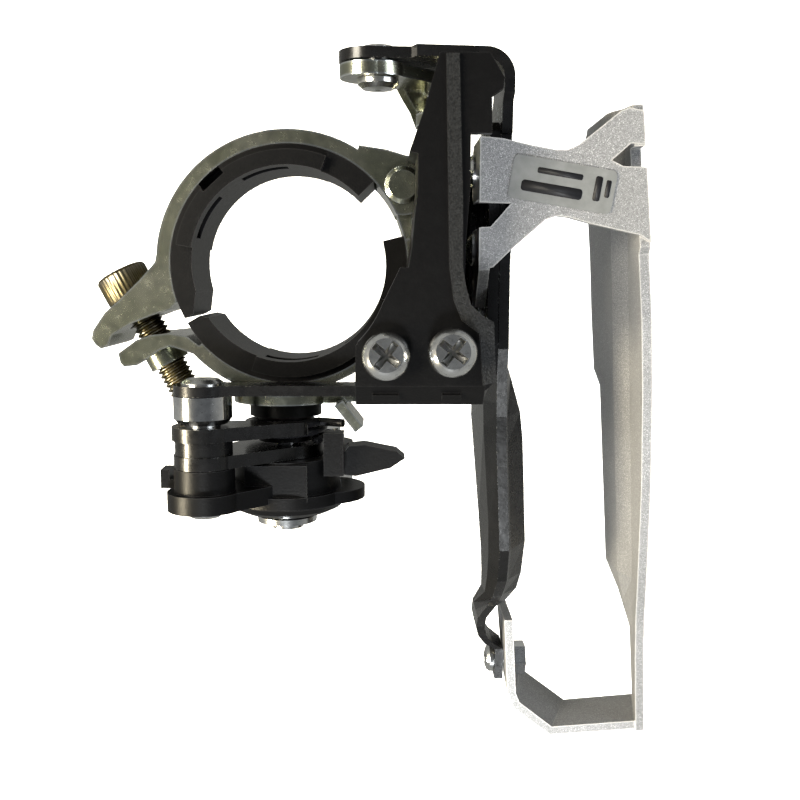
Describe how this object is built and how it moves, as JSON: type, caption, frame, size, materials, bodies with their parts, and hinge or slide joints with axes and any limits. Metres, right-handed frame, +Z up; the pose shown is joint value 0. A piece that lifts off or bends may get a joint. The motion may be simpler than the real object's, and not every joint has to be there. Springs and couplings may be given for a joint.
{
  "type": "front derailleur",
  "caption": "Top-swing front derailleur with a hinged seat-tube clamp, two sprung links, limit screws and a cage of a black inner and a silver outer plate.",
  "frame": {"origin": "centre of the seat-tube clamp's bore, halfway up the band", "axes": "+Z up along the seat tube, +X sideways to the drive side, +Y to the front of the bicycle"},
  "size_m": [0.0922, 0.1122, 0.0526],
  "materials": {
    "zinc": "bright zinc plate with a pale greenish-yellow passivation",
    "bare_steel": "bright zinc-plated steel",
    "bolt_steel": "brassy nickel plate",
    "collar_steel": "bright polished steel",
    "spring_steel": "black spring steel",
    "black_plastic": "moulded black plastic with a fine grain",
    "grip_plastic": "plain moulded nylon",
    "black_paint": "glossy black paint on pressed steel",
    "silver_paint": "silver metallic paint on pressed steel",
    "sticker": "printed foil with plain bars"
  },
  "bodies": {
    "base": {"base_bracket": "zinc", "fixed_strap": "zinc", "clamp_nut": "zinc", "lower_shim": "black_plastic", "hinge_rivet": "zinc", "rear_base_pin": "bare_steel", "pin_washer": "bare_steel", "front_base_pin": "bare_steel", "spring_bushing": "black_plastic", "body_cover": "black_plastic", "cover_screws": "bare_steel", "screw_grip": "grip_plastic"},
    "clamp_half": {"clamp_band": "zinc", "upper_shim": "black_plastic"},
    "bolt": {"clamp_bolt": "bolt_steel"},
    "high_screw": {"high_limit_screw": "bare_steel"},
    "low_screw": {"low_limit_screw": "bare_steel"},
    "rear_arm": {"rear_link": "black_paint", "cable_lever": "black_plastic", "dome_cap": "black_plastic", "anchor_washer": "bare_steel", "torsion_spring": "spring_steel"},
    "anchor": {"anchor_bolt": "bare_steel"},
    "front_arm": {"front_link": "zinc"},
    "cage": {"cage_bracket": "black_paint", "inner_plate": "black_paint", "outer_plate": "silver_paint", "plate_rivets": "bare_steel", "bridge_rivets": "bare_steel", "rear_cage_pin": "bare_steel", "spacer_collar": "collar_steel", "front_cage_rivet": "bare_steel", "tail_screw": "bare_steel", "tail_nut": "bare_steel", "sticker": "sticker"}
  },
  "joints": [
    {"name": "rear_link_swing", "type": "hinge", "parent": "base", "child": "rear_arm", "pos_m": [-0.0015, -0.03, 0], "axis": [0, 1, 0], "range_deg": [0, 60], "stiffness_Nm_per_rad": 0.25, "springref_deg": -68.75, "deforming": ["torsion_spring"]},
    {"name": "front_link_swing", "type": "hinge", "parent": "base", "child": "front_arm", "pos_m": [0.0242, 0.01, 0], "axis": [0, 1, 0], "range_deg": [0, 60]},
    {"name": "cage_pivot", "type": "hinge", "parent": "rear_arm", "child": "cage", "pos_m": [-0.0125, -0.03, 0.011], "axis": [0, 1, 0], "range_deg": [-60, 0]},
    {"name": "clamp_bolt_travel", "type": "slide", "parent": "base", "child": "bolt", "axis": [-0.4633, 0.8862, 0], "range_m": [0, 0.003]},
    {"name": "clamp_hinge", "type": "hinge", "parent": "base", "child": "clamp_half", "pos_m": [0.0168, 0.0115, 0], "axis": [0, 0, -1], "range_deg": [0, 3.3]},
    {"name": "high_screw_travel", "type": "slide", "parent": "base", "child": "high_screw", "axis": [0, 0.1392, 0.9903], "range_m": [0, 0.003]},
    {"name": "low_screw_travel", "type": "slide", "parent": "base", "child": "low_screw", "axis": [0, 0.1392, 0.9903], "range_m": [0, 0.003]},
    {"name": "anchor_bolt_travel", "type": "slide", "parent": "rear_arm", "child": "anchor", "axis": [0, -1, 0], "range_m": [0, 0.0015]}
  ],
  "couplings": [
    {"joint": "front_link_swing", "follows": "rear_link_swing", "ratio": 1},
    {"joint": "cage_pivot", "follows": "rear_link_swing", "ratio": -1},
    {"joint": "clamp_hinge", "follows": "clamp_bolt_travel", "rad_per_m": 19}
  ]
}
